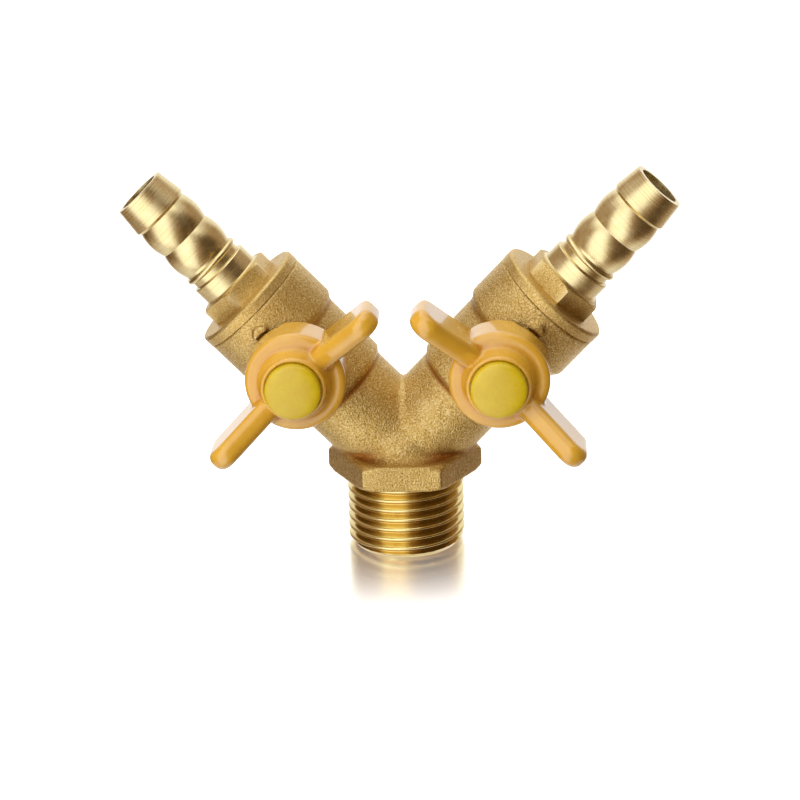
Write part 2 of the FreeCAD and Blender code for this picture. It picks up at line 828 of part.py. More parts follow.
def make_handle(name, side):
    """Butterfly handle: skirted hub with a flared collar, two wings, a stop rib and a square hole."""
    body = new_body(name)
    corners = [
        (ZERO, S["hub_back"]),
        (S["hub_radius"], S["hub_back"]),
        (S["hub_radius"], S["web_back"]),
        (S["skirt_bore"], S["web_back"]),
        (S["skirt_bore"], S["skirt_back"]),
        (S["skirt_radius"], S["skirt_back"]),
        (S["shoulder_radius"], S["shoulder_front"] - S["shoulder_round"]),
        (S["shoulder_radius"] - S["shoulder_round"], S["shoulder_front"]),
        (S["collar_foot_radius"], S["shoulder_front"]),
        (S["collar_radius"], S["lip_front"] - S["lip_chamfer"]),
        (S["collar_radius"] - S["lip_chamfer"], S["lip_front"]),
        (S["collar_bore"], S["lip_front"]),
        (S["collar_bore"], S["recess_floor"]),
        (ZERO, S["recess_floor"]),
    ]
    turn_stem(body, corners, {6: (S["shoulder_round"], -1), 8: (S["collar_flare"], 1)})
    add_wings(body)
    sector(
        body,
        None,
        side,
        S["stop_rib_middle"],
        S["stop_rib_angle"],
        S["stop_rib_radius"],
        S["skirt_bore"] + S["overlap"],
        S["stop_rib_back"],
        S["web_back"] + S["overlap"],
    )
    sector(
        body,
        None,
        side,
        S["notch_middle"],
        S["notch_angle"],
        S["skirt_bore"] - S["overlap"],
        S["skirt_radius"] + S["overlap"],
        S["skirt_back"] - S["overcut"],
        S["skirt_back"] + S["notch_depth"],
        cut=True,
    )
    half = S["square_width"] / 2 + S["slide_gap"]
    square = rectangle(half, -half, half)
    start = S["hub_back"] - S["overcut"]
    length = S["recess_floor"] + S["overcut"] - start
    prism(body, "XZ_Plane", square, length, offset=start, reverse=True, cut=True)
    place(body, side, S["stem_station"])
    return body


def make_spring_washer(name, side):
    """Split ring between the screw's head and the handle."""
    body = new_body(name)
    inner = S["washer_bore"]
    back = S["recess_floor"]
    front = S["screw_head_back"]
    corners = [(inner, back), (S["washer_radius"], back), (S["washer_radius"], front), (inner, front)]
    turn_stem(body, corners)
    gap = rectangle(S["washer_gap"] / 2, ZERO, S["washer_radius"] + S["overcut"])
    start = back - S["overcut"]
    prism(body, "XZ_Plane", gap, front + S["overcut"] - start, offset=start, reverse=True, cut=True)
    place(body, side, S["stem_station"])
    return body


def make_handle_screw(name, side):
    """Pan-head screw with a cross recess."""
    body = new_body(name)
    crown = S["screw_head_round"]
    point = S["screw_radius"] - S["overlap"]
    corners = [
        (ZERO, S["screw_back"]),
        (point, S["screw_back"]),
        (S["screw_radius"], S["screw_back"] + S["overlap"]),
        (S["screw_radius"], S["screw_head_back"]),
        (S["screw_head_radius"], S["screw_head_back"]),
        (S["screw_head_radius"], S["screw_head_front"] - crown),
        (S["screw_head_radius"] - crown, S["screw_head_front"]),
        (ZERO, S["screw_head_front"]),
    ]
    turn_stem(body, corners, {5: (crown, -1)})
    reach = S["driver_slot_length"] / 2
    width = S["driver_slot_width"] / 2
    depth = S["driver_slot_depth"] + S["overcut"]
    start = S["screw_head_front"] - S["driver_slot_depth"]
    for across, along in ((reach, width), (width, reach)):
        slot = rectangle(across, -along, along)
        prism(body, "XZ_Plane", slot, depth, offset=start, reverse=True, cut=True)
    place(body, side, S["stem_station"])
    return body


def make_cap(name, side):
    """Push-in cap: a domed disc on a hollow plug that grips the collar's bore."""
    body = new_body(name)
    rim = S["cap_front"] - S["cap_dome"]
    corners = [
        (ZERO, S["cap_back"]),
        (S["cap_plug_bore"], S["cap_back"]),
        (S["cap_plug_bore"], S["cap_plug_back"]),
        (S["cap_plug_radius"] - S["cap_plug_chamfer"], S["cap_plug_back"]),
        (S["cap_plug_radius"], S["cap_plug_back"] + S["cap_plug_chamfer"]),
        (S["cap_plug_radius"], S["cap_back"]),
        (S["cap_radius"], S["cap_back"]),
        (S["cap_radius"], rim - S["cap_round"]),
        (S["cap_radius"] - S["cap_round"], rim),
        (ZERO, S["cap_front"]),
    ]
    dome = arc_radius(S["cap_radius"] - S["cap_round"], S["cap_dome"])
    turn_stem(body, corners, {7: (S["cap_round"], -1), 8: (dome, -1)})
    place(body, side, S["stem_station"])
    return body


def make_side(name, side):
    """Every piece of one branch, in the order that it goes together."""
    return [
        make_seat(f"{name}_inner_seat", side, S["port_end"]),
        make_ball(f"{name}_ball", side),
        make_seat(f"{name}_outer_seat", side, S["tail_start"]),
        make_hose_tail(f"{name}_hose_tail", side),
        make_thrust_washer(f"{name}_thrust_washer", side),
        make_stem(f"{name}_stem", side),
        make_ring(f"{name}_inner_o_ring", side, S["inner_ring_station"]),
        make_ring(f"{name}_outer_o_ring", side, S["outer_ring_station"]),
        make_handle(f"{name}_handle", side),
        make_spring_washer(f"{name}_spring_washer", side),
        make_handle_screw(f"{name}_handle_screw", side),
        make_cap(f"{name}_handle_cap", side),
    ]


def faults(pieces):
    """What is wrong with the document, as messages; none when everything was rebuilt."""
    found = [f"{obj.Name}: {obj.State}" for obj in doc.Objects if {"Invalid", "Error"} & set(obj.State)]
    for piece in pieces:
        if piece.Shape.isNull() or not piece.Shape.isValid():
            found.append(f"{piece.Label}: no valid shape")
        elif len(piece.Shape.Solids) != 1:
            found.append(f"{piece.Label}: {len(piece.Shape.Solids)} solids")
    return found


def main():
    pieces = [make_valve_body("valve_body")]
    for name, side in SIDES:
        pieces += make_side(name, side)
    doc.recompute()
    problems = faults(pieces)
    if problems:
        raise SystemExit("\n".join(problems))
    os.makedirs("parts", exist_ok=True)
    for piece in pieces:
        piece.Shape.exportStep(f"parts/{piece.Label}.step")
        print(f"{piece.Label}: {piece.Shape.Volume:.1f} mm3")


main()
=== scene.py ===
"""Looks of the two-way ball-valve hose splitter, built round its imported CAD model.

Millimetres in the names and tables, metres in Blender. The inlet thread stands on the floor at the
origin, +Z up, and the handles face -Y.
"""
import json
import math

import bmesh
import bpy
import numpy as np
from mathutils import Matrix, Vector

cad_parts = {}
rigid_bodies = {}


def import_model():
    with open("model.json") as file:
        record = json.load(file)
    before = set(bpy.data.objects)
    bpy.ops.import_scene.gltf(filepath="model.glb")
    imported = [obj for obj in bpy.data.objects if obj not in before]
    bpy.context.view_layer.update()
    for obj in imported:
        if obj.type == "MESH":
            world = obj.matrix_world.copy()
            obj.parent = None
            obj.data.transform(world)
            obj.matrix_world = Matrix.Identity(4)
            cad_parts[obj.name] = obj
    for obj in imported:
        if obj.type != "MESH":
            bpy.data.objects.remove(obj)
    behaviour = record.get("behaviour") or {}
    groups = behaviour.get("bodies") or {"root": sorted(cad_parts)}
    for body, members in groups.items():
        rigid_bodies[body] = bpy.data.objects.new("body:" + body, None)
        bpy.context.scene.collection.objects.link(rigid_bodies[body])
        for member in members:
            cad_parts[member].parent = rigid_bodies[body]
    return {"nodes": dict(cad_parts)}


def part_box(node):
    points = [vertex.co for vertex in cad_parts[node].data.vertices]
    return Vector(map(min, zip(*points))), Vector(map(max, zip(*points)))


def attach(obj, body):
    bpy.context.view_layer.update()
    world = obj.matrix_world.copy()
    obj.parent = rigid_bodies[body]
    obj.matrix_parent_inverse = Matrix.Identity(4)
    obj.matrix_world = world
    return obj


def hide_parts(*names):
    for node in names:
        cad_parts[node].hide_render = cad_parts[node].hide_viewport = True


for leftover in list(bpy.data.objects):
    bpy.data.objects.remove(leftover)

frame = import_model()
bpy.context.view_layer.update()

MM = 0.001
SIDES = (("left", -1), ("right", 1))

# the camera: degrees, metres, and the lens in millimetres
CAMERA_AZIMUTH = 3.37
CAMERA_ELEVATION = 19.82
CAMERA_ROLL = -1.60
CAMERA_DISTANCE = 0.4791
CAMERA_TARGET = Vector((-0.00062, 0, 0.02636))
CAMERA_LENS = 120.49

# the studio: metres
STAGE_RADIUS = 15
FLOOR_LEVEL = -0.0001
MIRROR_START = 0.010
MIRROR_END = 0.046
LIGHT_TARGET = Vector((0, 0, 0.035))
WHITE = (1.0, 1.0, 1.0, 1.0)
BOUNCE_AMBER = (1.0, 0.61, 0.30, 1.0)
SOFT_WHITE = (1.0, 0.98, 0.95)
ROOM_LEVEL = 0.42

# name, azimuth and elevation in degrees, distance and size in metres, watts
LIGHTS = (
    ("key", -48, 35, 0.7, 0.45, 1.35),
    ("fill", -10, 20, 0.8, 0.6, 0.6),
    ("side", 125, 25, 0.8, 0.6, 0.6),
)

# the CAD model's own dimensions: millimetres from here on
BRANCH_ANGLE = math.radians(43.5)
APEX_HEIGHT = 17.6
STEM_STATION = 25.5
THREAD_RADIUS = 10.4775
THREAD_PITCH = 1.814
THREAD_DEPTH = 1.162
THREAD_START = -2.258
LEAD_CHAMFER = 1.1
SHANK_LENGTH = 13.2
INLET_BORE = 7.2
LUG_STATION = 34.5
FLANGE_FACE = 39.9
NUT_CORNER = 7.5
NUT_END = 43.2
CAP_RADIUS = 4.83
CAP_SKIRT = 21.2
CAP_PLUG_BORE = 4.1
CAP_PLUG_CHAMFER = 0.3

# the skins made here, in millimetres too
BODY_VOXEL = 0.3
HANDLE_VOXEL = 0.2
PAINT_SWELL = 0.14
LUG_REACH = 1.8
LIP_REACH = 5.6
APEX_REACH = 15
EDGE_FADE = 1.2
SHARP_ANGLE = math.radians(35)

# soften(): the smoothing rounds that find a hollow, spread its mark, feather it and find its painted shade
FIND_ROUNDS = 12
SPREAD_ROUNDS = 6
SPREAD_KEEP = 0.97
FEATHER_ROUNDS = 4
SHADE_ROUNDS = 30
SHADE_DEPTH = 2.2

# the inlet thread's mesh: the shank stands in the hexagon by the overlap
SHANK_CUT = 0.02
SHANK_OVERLAP = 0.1
INLET_CHAMFER = 0.5
RUNOUT_START = 12.48
RUNOUT_END = 13.08
ROOT_POWER = 1.15
THREAD_COLUMNS = 288
THREAD_ROWS = 170

# the cap's mesh: its end rings nearly close, and the powers shape the dome
CAP_END_RING = 0.1
CAP_DOME_DEPTH = 0.85
CAP_TOP_POWER = 2.6
CAP_RIM_POWER = 0.45
CAP_COLUMNS = 96
CAP_ROWS = 30


# ---------------------------------------------------------------- camera, lights and studio


def aim(azimuth, elevation):
    """Unit vector from the object towards a direction: azimuth 0 is the front, 90 the right."""
    a = math.radians(azimuth)
    e = math.radians(elevation)
    return Vector((math.sin(a) * math.cos(e), -math.cos(a) * math.cos(e), math.sin(e)))


def make_camera():
    """A long lens above the front of the object and a little to its right."""
    roll = math.radians(CAMERA_ROLL)
    back = aim(CAMERA_AZIMUTH, CAMERA_ELEVATION)
    right = Vector((0, 0, 1)).cross(back).normalized()
    up = back.cross(right)
    across = right * math.cos(roll) + up * math.sin(roll)
    upward = up * math.cos(roll) - right * math.sin(roll)
    data = bpy.data.cameras.new("camera")
    data.lens = CAMERA_LENS
    data.sensor_width = 36
    data.clip_start = 0.01
    camera = bpy.data.objects.new("camera", data)
    bpy.context.scene.collection.objects.link(camera)
    place = Matrix((across, upward, back)).transposed().to_4x4()
    place.translation = CAMERA_TARGET + back * CAMERA_DISTANCE
    camera.matrix_world = place
    bpy.context.scene.camera = camera


def make_light(name, azimuth, elevation, distance, size, power):
    """A square soft light that looks at the object; nothing reflects it, so metal stays unlit by it."""
    data = bpy.data.lights.new(name, "AREA")
    data.shape = "SQUARE"
    data.size = size
    data.energy = power
    data.color = SOFT_WHITE
    lamp = bpy.data.objects.new(name, data)
    bpy.context.scene.collection.objects.link(lamp)
    away = aim(azimuth, elevation)
    lamp.location = LIGHT_TARGET + away * distance
    lamp.rotation_euler = away.to_track_quat("Z", "Y").to_euler()
    lamp.visible_glossy = False


class Nodes:
    """Builds a node tree: values in inputs become sockets' defaults, and sockets become links."""

    def __init__(self, tree):
        self.tree = tree
        tree.nodes.clear()

    def add(self, kind, inputs=None, **settings):
        """A new node, its inputs by name or number and its own settings by keyword."""
        node = self.tree.nodes.new("ShaderNode" + kind)
        for key, value in settings.items():
            setattr(node, key, value)
        for key, value in (inputs or {}).items():
            if isinstance(value, bpy.types.NodeSocket):
                self.tree.links.new(value, node.inputs[key])
            else:
                node.inputs[key].default_value = value
        return node

    def math(self, operation, *values):
        """The result of a sum on numbers and sockets."""
        return self.add("Math", dict(enumerate(values)), operation=operation).outputs[0]

    def ramp(self, value, low, high, out_low=0.0, out_high=1.0):
        """A smooth step between two input values."""
        inputs = {"Value": value, "From Min": low, "From Max": high, "To Min": out_low, "To Max": out_high}
        return self.add("MapRange", inputs, interpolation_type="SMOOTHSTEP").outputs["Result"]

    def mix(self, factor, one, other):
        """A blend of two colours."""
        inputs = {"Factor": factor, 6: one, 7: other}
        return self.add("Mix", inputs, data_type="RGBA").outputs[2]

    def noise(self, vector, scale, detail=2.0, roughness=0.5):
        """Smooth random values round 0.5."""
        inputs = {"Vector": vector, "Scale": scale, "Detail": detail, "Roughness": roughness}
        return self.add("TexNoise", inputs).outputs["Fac"]


def window(n, value, low, high, soft):
    """1 between two values, 0 outside them, with soft edges."""
    rise = n.ramp(value, low - soft, low + soft)
    fall = n.ramp(value, high + soft, high - soft)
    return n.math("MULTIPLY", rise, fall)


def make_world():
    """Studio surroundings, which are all that the brass reflects.

    A mid-grey room with soft-edged panels in it, placed by azimuth and elevation in degrees as in
    aim(). Its dim parts are amber, as light that has already bounced off brass.
    """
    world = bpy.data.worlds.new("studio")
    world.use_nodes = True
    bpy.context.scene.world = world
    n = Nodes(world.node_tree)
    split = n.add("SeparateXYZ", {0: n.add("TexCoord").outputs["Generated"]})
    x, y, z = split.outputs[0], split.outputs[1], split.outputs[2]
    azimuth = n.math("DEGREES", n.math("ARCTAN2", x, n.math("MULTIPLY", y, -1.0)))
    elevation = n.math("DEGREES", n.math("ARCSINE", z))
    # a tall softbox at the front left
    softbox = n.math("MULTIPLY", window(n, azimuth, -55, 3, 11), window(n, elevation, -58, 47, 10))
    # a wide dark flag on the right, its far edge leaning towards the front as it rises
    lean = n.math("ADD", azimuth, n.math("MULTIPLY", n.math("MAXIMUM", elevation, 0.0), 0.8))
    flag = n.math("MULTIPLY", n.ramp(azimuth, 10, 40), n.ramp(lean, 124, 94))
    flag = n.math("MULTIPLY", flag, window(n, elevation, -54, 50, 14))
    # a low dark screen behind on the left
    screen = n.math("MULTIPLY", window(n, azimuth, -140, -78, 12), window(n, elevation, -38, -4, 8))
    # the lit table top on both sides and behind, and the table under the object
    aside = n.math("ABSOLUTE", n.math("SUBTRACT", azimuth, 20))
    table_sides = n.math("MULTIPLY", n.ramp(aside, 45, 85), window(n, elevation, -78, -44, 8))
    table = n.ramp(elevation, -50, -72)
    # a white backdrop, and a ceiling that is dimmer on the right
    behind = n.ramp(n.math("ABSOLUTE", azimuth), 130, 158)
    backdrop = n.math("MULTIPLY", behind, window(n, elevation, -45, 60, 15))
    ceiling = n.math("MULTIPLY", n.ramp(elevation, 40, 66), n.ramp(azimuth, 95, 35, 0.4, 1.0))
    panels = [
        (softbox, 1.25),
        (flag, -0.32),
        (screen, -0.3),
        (backdrop, 0.72),
        (ceiling, 1.25),
        (table, 0.3),
        (table_sides, 0.35),
    ]
    level = ROOM_LEVEL
    for share, amount in panels:
        level = n.math("ADD", level, n.math("MULTIPLY", share, amount))
    tint = n.mix(n.ramp(level, 0.1, 1.1), BOUNCE_AMBER, WHITE)
    shade = n.add("Background", {"Color": tint, "Strength": level})
    n.add("OutputWorld", {"Surface": shade.outputs[0]})


def make_floor():
    """White table, mirror-like under the inlet and plain further out; only the camera sees it."""
    bm = bmesh.new()
    bmesh.ops.create_grid(bm, x_segments=1, y_segments=1, size=STAGE_RADIUS)
    mesh = bpy.data.meshes.new("floor")
    bm.to_mesh(mesh)
    bm.free()
    floor = bpy.data.objects.new("floor", mesh)
    floor.location.z = FLOOR_LEVEL
    floor.visible_glossy = False
    floor.visible_diffuse = False
    bpy.context.scene.collection.objects.link(floor)
    material = new_material("table")
    n = Nodes(material.node_tree)
    spot = n.add("TexCoord").outputs["Object"]
    far = n.add("VectorMath", {0: spot}, operation="LENGTH").outputs["Value"]
    share = n.ramp(far, MIRROR_START, MIRROR_END, 0.88, 0.0)
    white = n.add("BsdfDiffuse", {"Color": (0.9, 0.9, 0.9, 1.0)}).outputs[0]
    glow = n.add("Emission", {"Color": WHITE, "Strength": 0.8}).outputs[0]
    base = n.add("AddShader", {0: white, 1: glow}).outputs[0]
    mirror = n.add("BsdfAnisotropic", {"Color": WHITE, "Roughness": 0.2}).outputs[0]
    both = n.add("MixShader", {0: share, 1: base, 2: mirror}).outputs[0]
    n.add("OutputMaterial", {"Surface": both})
    mesh.materials.append(material)


def make_backdrop():
    """White dome round everything; only the camera sees it, so it lights nothing."""
    bm = bmesh.new()
    bmesh.ops.create_uvsphere(bm, u_segments=48, v_segments=24, radius=STAGE_RADIUS * 0.9)
    mesh = bpy.data.meshes.new("backdrop")
    bm.to_mesh(mesh)
    bm.free()
    dome = bpy.data.objects.new("backdrop", mesh)
    dome.visible_diffuse = False
    dome.visible_glossy = False
    dome.visible_transmission = False
    dome.visible_shadow = False
    bpy.context.scene.collection.objects.link(dome)
    material = new_material("white_dome")
    n = Nodes(material.node_tree)
    glow = n.add("Emission", {"Color": WHITE, "Strength": 1.0}).outputs[0]
    n.add("OutputMaterial", {"Surface": glow})
    mesh.materials.append(material)


# ---------------------------------------------------------------- materials


def new_material(name):
    """An empty node material."""
    material = bpy.data.materials.new(name)
    material.use_nodes = True
    return material


def srgb(red, green, blue):
    """Linear colour of an 8-bit sRGB one."""
    shares = [channel / 255 for channel in (red, green, blue)]
    parts = [c / 12.92 if c <= 0.04045 else ((c + 0.055) / 1.055) ** 2.4 for c in shares]
    return (*parts, 1.0)


def finish_material(n, colour, roughness, normal, **rest):
    """The shader and output; further sockets are named with underscores for spaces."""
    inputs = {"Base Color": colour, "Roughness": roughness, "Normal": normal}
    inputs.update({key.replace("_", " "): value for key, value in rest.items()})
    shader = n.add("BsdfPrincipled", inputs)
    n.add("OutputMaterial", {"Surface": shader.outputs[0]})


def millimetres(n):
    """Object coordinates scaled so that one unit is a millimetre."""
    spot = n.add("TexCoord").outputs["Object"]
    return n.add("VectorMath", {0: spot, "Scale": 1000.0}, operation="SCALE").outputs[0]


def grain(n, spot, size):
    """Height of a blasted forging's skin with grains of the given size, and the noise that colours them."""
    rough = n.noise(spot, 1 / size, 2.0, 0.65)
    fine = n.noise(spot, 2.7 / size, 2.0, 0.6)
    cell_inputs = {"Vector": spot, "Scale": 1.1 / size, "Smoothness": 0.5}
    cells = n.add("TexVoronoi", cell_inputs, feature="SMOOTH_F1")
    pits = n.math("MULTIPLY", cells.outputs["Distance"], 0.6)
    return n.math("ADD", n.math("ADD", rough, pits), n.math("MULTIPLY", fine, 0.5)), rough


def forged_colour(n, spot, rough):
    """Khaki brass with amber clouds and a fine light and dark grain."""
    cloud = n.noise(spot, 0.16, 3.0, 0.55)
    colour = n.mix(n.ramp(cloud, 0.35, 0.68), srgb(208, 174, 97), srgb(222, 190, 115))
    colour = n.mix(n.ramp(rough, 0.48, 0.7, 0.0, 0.6), colour, srgb(255, 240, 194))
    colour = n.mix(n.ramp(rough, 0.5, 0.3, 0.0, 0.6), colour, srgb(142, 100, 44))
    return colour


def forged_brass(name):
    """Blasted forging, with brown painted shade in the hollows that soften() marks."""
    material = new_material(name)
    n = Nodes(material.node_tree)
    spot = millimetres(n)
    height, rough = grain(n, spot, 0.3)
    colour = forged_colour(n, spot, rough)
    depth = n.add("Attribute", attribute_name="crease", attribute_type="GEOMETRY").outputs["Fac"]
    depth = n.math("ADD", depth, n.math("MULTIPLY", n.math("SUBTRACT", rough, 0.5), 0.5))
    aside = n.math("ABSOLUTE", n.add("SeparateXYZ", {0: spot}).outputs[0])
    # painted shade: brown in the hollows, weaker near the middle and out on the branches
    hollow_shade = n.math("MULTIPLY", n.ramp(depth, 0.15, 0.9, 0.0, 0.9), n.ramp(aside, 2.0, 7.0, 0.1, 1.0))
    hollow_shade = n.math("MULTIPLY", hollow_shade, n.ramp(aside, 11.0, 14.0, 1.0, 0.5))
    colour = n.mix(hollow_shade, colour, srgb(158, 96, 34))
    bump = n.add("Bump", {"Height": height, "Strength": 1.0, "Distance": 0.13 * MM})
    finish_material(n, colour, n.ramp(rough, 0.3, 0.7, 0.42, 0.28), bump.outputs[0], Metallic=0.98)
    return material


def lathe_lines(n, along):
    """Height of fine turning marks, which run round the axis."""
    inputs = {"W": n.math("MULTIPLY", along, 4.0), "Scale": 1.0, "Detail": 4.0, "Roughness": 0.7}
    return n.add("TexNoise", inputs, noise_dimensions="1D").outputs["Fac"]


def tail_brass(name, side):
    """Blasted flange and hexagon up to the nut's end, with a painted highlight along the nut's corners, and
    turned brass beyond it.
    """
    material = new_material(f"tail_brass_{name}")
    n = Nodes(material.node_tree)
    spot = millimetres(n)
    axis = (math.sin(BRANCH_ANGLE) * side, 0.0, math.cos(BRANCH_ANGLE))
    from_apex = n.add("VectorMath", {0: spot, 1: (0.0, 0.0, APEX_HEIGHT)}, operation="SUBTRACT").outputs[0]
    along = n.add("VectorMath", {0: from_apex, 1: axis}, operation="DOT_PRODUCT").outputs["Value"]
    turned = n.ramp(along, NUT_END - 0.05, NUT_END + 0.25)
    height, rough = grain(n, spot, 0.22)
    on_axis = n.add("VectorMath", {0: axis, "Scale": along}, operation="SCALE").outputs[0]
    out = n.add("VectorMath", {0: from_apex, 1: on_axis}, operation="SUBTRACT").outputs[0]
    reach = n.add("VectorMath", {0: out}, operation="LENGTH").outputs["Value"]
    # painted highlight: paler brass along the hexagon's corners
    on_nut = n.ramp(along, FLANGE_FACE + 0.1, FLANGE_FACE + 0.4)
    corner_highlight = n.math("MULTIPLY", on_nut, n.ramp(reach, NUT_CORNER - 0.6, NUT_CORNER - 0.1, 0.0, 0.75))
    forged = n.mix(corner_highlight, forged_colour(n, spot, rough), srgb(240, 218, 160))
    lines = lathe_lines(n, along)
    smudge = n.noise(spot, 0.5, 3.0, 0.6)
    bright = n.mix(n.ramp(smudge, 0.35, 0.7), srgb(224, 206, 154), srgb(234, 218, 170))
    bright = n.mix(n.ramp(lines, 0.5, 0.3, 0.0, 0.4), bright, srgb(196, 158, 84))
    colour = n.mix(turned, forged, bright)
    turned_height = n.math("ADD", n.math("MULTIPLY", lines, 0.1), n.math("MULTIPLY", rough, 0.015))
    both = n.add("Mix", {"Factor": turned, 2: n.math("MULTIPLY", height, 0.4), 3: turned_height}).outputs[0]
    bump = n.add("Bump", {"Height": both, "Strength": 0.95, "Distance": 0.2 * MM})
    turned_rough = n.ramp(smudge, 0.3, 0.7, 0.22, 0.31)
    roughness = n.add("Mix", {"Factor": turned, 2: 0.36, 3: turned_rough}).outputs[0]
    finish_material(n, colour, roughness, bump.outputs[0], Metallic=0.97)
    return material


def thread_brass():
    """Bright cut thread, with amber painted shade in the roots and paler crests, and faint tool marks along
    the helix.
    """
    material = new_material("thread_brass")
    n = Nodes(material.node_tree)
    spot = millimetres(n)
    split = n.add("SeparateXYZ", {0: spot})
    flat = n.add("CombineXYZ", {0: split.outputs[0], 1: split.outputs[1], 2: 0.0}).outputs[0]
    radius = n.add("VectorMath", {0: flat}, operation="LENGTH").outputs["Value"]
    angle = n.math("ARCTAN2", split.outputs[1], split.outputs[0])
    lead = n.math("SUBTRACT", split.outputs[2], n.math("MULTIPLY", angle, THREAD_PITCH / math.tau))
    lines = lathe_lines(n, lead)
    blotch = n.noise(spot, 0.45, 4.0, 0.65)
    # painted shade: amber in the thread's roots, paler on its crests
    crest = n.ramp(radius, THREAD_RADIUS - THREAD_DEPTH, THREAD_RADIUS - 0.25)
    colour = n.mix(crest, srgb(210, 180, 106), srgb(228, 210, 150))
    colour = n.mix(n.ramp(blotch, 0.5, 0.75, 0.0, 0.4), colour, srgb(196, 162, 86))
    colour = n.mix(n.ramp(lines, 0.62, 0.8, 0.0, 0.4), colour, srgb(250, 232, 170))
    height = n.math("ADD", n.math("MULTIPLY", lines, 0.5), n.math("MULTIPLY", blotch, 0.4))
    bump = n.add("Bump", {"Height": height, "Strength": 0.35, "Distance": 0.05 * MM})
    roughness = n.ramp(blotch, 0.3, 0.7, 0.12, 0.22)
    finish_material(n, colour, roughness, bump.outputs[0], Metallic=1.0)
    return material


def enamel():
    """Thick glossy orange-yellow paint, with darker painted shade in its hollows."""
    material = new_material("handle_enamel")
    n = Nodes(material.node_tree)
    spot = millimetres(n)
    cloud = n.noise(spot, 0.22, 3.0, 0.5)
    dust = n.noise(spot, 2.2, 2.0, 0.6)
    depth = n.add("Attribute", attribute_name="crease", attribute_type="GEOMETRY").outputs["Fac"]
    colour = n.mix(n.ramp(cloud, 0.3, 0.7), srgb(208, 156, 44), srgb(216, 166, 52))
    # painted shade: orange-brown in the hollows that soften() marks
    colour = n.mix(n.ramp(depth, 0.15, 0.95, 0.0, 0.6), colour, srgb(186, 116, 26))
    colour = n.mix(n.ramp(dust, 0.72, 0.8, 0.0, 0.3), colour, srgb(200, 128, 40))
    wave = n.noise(spot, 0.5, 2.0, 0.5)
    height = n.math("ADD", wave, n.math("MULTIPLY", dust, 0.06))
    bump = n.add("Bump", {"Height": height, "Strength": 0.4, "Distance": 0.1 * MM})
    roughness = n.ramp(cloud, 0.3, 0.7, 0.2, 0.28)
    finish_material(
        n, colour, roughness, bump.outputs[0], Coat_Weight=1.0, Coat_Roughness=0.03, Coat_IOR=1.5
    )
    return material


def cap_plastic():
    """Yellow moulded plastic with a soft sheen and a faint flow mark."""
    material = new_material("cap_plastic_yellow")
    n = Nodes(material.node_tree)
    spot = millimetres(n)
    cloud = n.noise(spot, 0.3, 2.0, 0.5)
    flow = n.noise(spot, 0.55, 5.0, 0.7)
    colour = n.mix(n.ramp(cloud, 0.3, 0.7), srgb(202, 171, 11), srgb(209, 181, 19))
    height = n.math("ADD", n.math("MULTIPLY", flow, 0.5), n.math("MULTIPLY", n.noise(spot, 9.0), 0.05))
    bump = n.add("Bump", {"Height": height, "Strength": 0.35, "Distance": 0.06 * MM})
    roughness = n.ramp(flow, 0.35, 0.7, 0.26, 0.36)
    finish_material(
        n, colour, roughness, bump.outputs[0], IOR=1.6, Subsurface_Weight=0.1, Subsurface_Scale=0.6 * MM
    )
    return material


def plain_finish(name, colour, rough, metallic):
    """Finish of a hidden piece: one colour over a finely worked surface."""
    material = new_material(name)
    n = Nodes(material.node_tree)
    spot = millimetres(n)
    fine = n.noise(spot, 4.0, 3.0, 0.6)
    darker = tuple(c * 0.8 for c in colour[:3]) + (1.0,)
    shade = n.mix(n.ramp(fine, 0.35, 0.65), darker, colour)
    bump = n.add("Bump", {"Height": fine, "Strength": 0.3, "Distance": 0.03 * MM})
    roughness = n.ramp(fine, 0.3, 0.7, rough, rough + 0.12)
    finish_material(n, shade, roughness, bump.outputs[0], Metallic=metallic)
    return material


# ---------------------------------------------------------------- soft forged and cast skins


def solid_copy(node):
    """A bmesh copy of a CAD node, closed by joining its split corners."""
    bm = bmesh.new()
    bm.from_mesh(frame["nodes"][node].data)
    bmesh.ops.remove_doubles(bm, verts=bm.verts, dist=1e-7)
    return bm


def remeshed(name, bm, voxel):
    """An object with an even skin of voxel-sized faces over the closed surface in bm."""
    mesh = bpy.data.meshes.new(name)
    bm.to_mesh(mesh)
    bm.free()
    obj = bpy.data.objects.new(name, mesh)
    bpy.context.scene.collection.objects.link(obj)
    skin = obj.modifiers.new("skin", "REMESH")
    skin.mode = "VOXEL"
    skin.voxel_size = voxel * MM
    skin.use_smooth_shade = True
    bpy.context.view_layer.update()
    even = bpy.data.meshes.new_from_object(obj.evaluated_get(bpy.context.evaluated_depsgraph_get()))
    obj.modifiers.clear()
    obj.data = even
    even.name = name
    bpy.data.meshes.remove(mesh)
    return obj


